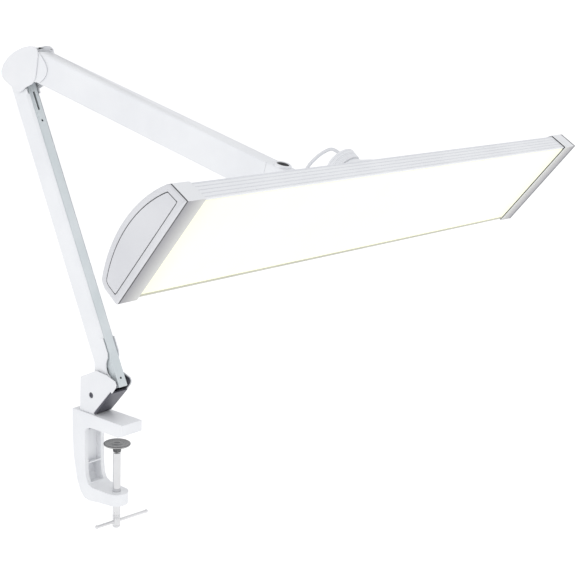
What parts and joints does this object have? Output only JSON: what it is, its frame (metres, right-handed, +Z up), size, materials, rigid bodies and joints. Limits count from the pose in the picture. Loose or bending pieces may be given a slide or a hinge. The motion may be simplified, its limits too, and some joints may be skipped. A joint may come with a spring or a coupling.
{
  "type": "swing arm desk lamp",
  "caption": "White clamp-on swing arm desk lamp: two-part folding arm on a swivel base, with a long flat lit head on a tilting, turning joint.",
  "frame": {"origin": "where the clamp screw's axis meets the flat underside of the clamp's upper jaw, which rests on the table", "axes": "+Z up along the clamp screw, +X from the clamp's spine along the jaw and out towards the head, +Y across the lamp along the head's length at rest"},
  "size_m": [0.4927, 0.508, 0.4644],
  "materials": {
    "white_paint": "satin white powder coat",
    "white_plastic": "fine satin moulding",
    "silver_paint": "satin light silver-grey",
    "dark_steel": "dark grey satin",
    "zinc": "bright zinc plate",
    "chrome": "polished",
    "pad_steel": "dark turned steel",
    "nylon": "black moulding",
    "diffuser": "translucent opal, lit from behind",
    "aluminium": "plain sheet",
    "circuit": "white solder mask",
    "cable": "smooth white sheath"
  },
  "bodies": {
    "clamp": {"clamp_frame": "white_paint", "swivel_bolt": "zinc", "swivel_nut": "zinc", "swivel_washer": "nylon", "swivel_lock_washer": "zinc"},
    "pad": {"pressure_pad": "pad_steel"},
    "screw": {"clamp_screw": "chrome"},
    "bar": {"tommy_bar": "chrome"},
    "base": {"base_bracket": "dark_steel", "base_cover_left": "white_plastic", "base_cover_right": "white_plastic", "base_cover_screw_left": "dark_steel", "base_cover_screw_right": "dark_steel", "cable_grommet": "nylon", "base_pin_rear": "zinc", "base_pin_front": "zinc"},
    "lower_arm": {"lower_arm_shell": "white_paint", "lower_spring": "zinc", "lower_spring_pin_top": "zinc", "lower_spring_pin_bottom": "zinc", "lower_arm_wire": "cable"},
    "lower_link": {"lower_arm_channel": "silver_paint"},
    "elbow": {"elbow_bracket": "white_paint", "elbow_cover_left": "white_plastic", "elbow_cover_right": "white_plastic", "elbow_pin_rear": "zinc", "elbow_pin_front": "zinc", "elbow_pin_upper": "zinc"},
    "upper_arm": {"upper_arm_shell": "white_paint", "upper_arm_cover": "silver_paint", "upper_cover_screw_inner": "zinc", "upper_cover_screw_outer": "zinc", "upper_spring": "zinc", "upper_spring_pin_inner": "zinc", "upper_spring_pin_outer": "zinc", "upper_arm_wire": "cable", "arm_end_block": "white_paint", "socket_bush": "white_plastic"},
    "pan_link": {"pan_link": "white_paint", "tilt_pin": "zinc", "tilt_washer_left": "nylon", "tilt_washer_right": "nylon", "head_lead": "cable"},
    "knuckle": {"tilt_knuckle": "white_paint", "spin_bolt": "zinc", "spin_washer": "zinc"},
    "head": {"head_housing": "white_paint", "head_boss": "white_paint", "end_cap_left": "white_plastic", "end_cap_right": "white_plastic", "end_plate_left": "white_plastic", "end_plate_right": "white_plastic", "diffuser": "diffuser", "led_tray": "aluminium", "led_strip_1": "circuit", "led_strip_2": "circuit", "led_strip_3": "circuit", "driver_board": "circuit"},
    "button": {"power_button": "white_plastic"}
  },
  "joints": [
    {"name": "base_swivel", "type": "hinge", "parent": "clamp", "child": "base", "pos_m": [-0.032, 0, 0.0137], "axis": [0, 0, 1], "range_deg": [-170, 170]},
    {"name": "lower_arm_lean", "type": "hinge", "parent": "base", "child": "lower_arm", "pos_m": [-0.0098, 0, 0.05], "axis": [0, -1, 0], "range_deg": [-60, 15]},
    {"name": "lower_link_lean", "type": "hinge", "parent": "base", "child": "lower_link", "pos_m": [0.0024, 0, 0.05], "axis": [0, -1, 0], "range_deg": [-65, 20]},
    {"name": "elbow_level", "type": "hinge", "parent": "lower_arm", "child": "elbow", "pos_m": [-0.14657, 0, 0.33042], "axis": [0, -1, 0], "range_deg": [-20, 65]},
    {"name": "upper_arm_lift", "type": "hinge", "parent": "elbow", "child": "upper_arm", "pos_m": [-0.118, 0, 0.343], "axis": [0, -1, 0], "range_deg": [-20, 50]},
    {"name": "head_pan", "type": "hinge", "parent": "upper_arm", "child": "pan_link", "pos_m": [0.19208, 0, 0.26684], "axis": [0.2385, 0, 0.9711], "range_deg": [-90, 90]},
    {"name": "head_tilt", "type": "hinge", "parent": "pan_link", "child": "knuckle", "pos_m": [0.2463, 0, 0.2772], "axis": [0, 1, 0], "range_deg": [-40, 45], "deforming": ["head_lead"]},
    {"name": "head_spin", "type": "hinge", "parent": "knuckle", "child": "head", "pos_m": [0.27586, 0, 0.2792], "axis": [-0.783, 0, 0.622], "range_deg": [-90, 90]},
    {"name": "power_press", "type": "slide", "parent": "head", "child": "button", "axis": [0.783, 0, -0.622], "range_m": [0, 0.0015], "stiffness_N_per_m": 400},
    {"name": "clamp_travel", "type": "slide", "parent": "clamp", "child": "pad", "axis": [0, 0, 1], "range_m": [-0.04, 0.01]},
    {"name": "screw_turn", "type": "hinge", "parent": "pad", "child": "screw", "pos_m": [0, 0, -0.0164], "axis": [0, 0, 1], "range_deg": [-11600, 2900]},
    {"name": "bar_slide", "type": "slide", "parent": "screw", "child": "bar", "axis": [0.0976, 0.9952, 0], "range_m": [-0.027, 0.014]}
  ],
  "couplings": [
    {"joint": "lower_link_lean", "follows": "lower_arm_lean", "ratio": 1},
    {"joint": "elbow_level", "follows": "lower_arm_lean", "ratio": -1},
    {"joint": "screw_turn", "follows": "clamp_travel", "rad_per_m": 5026.5}
  ]
}
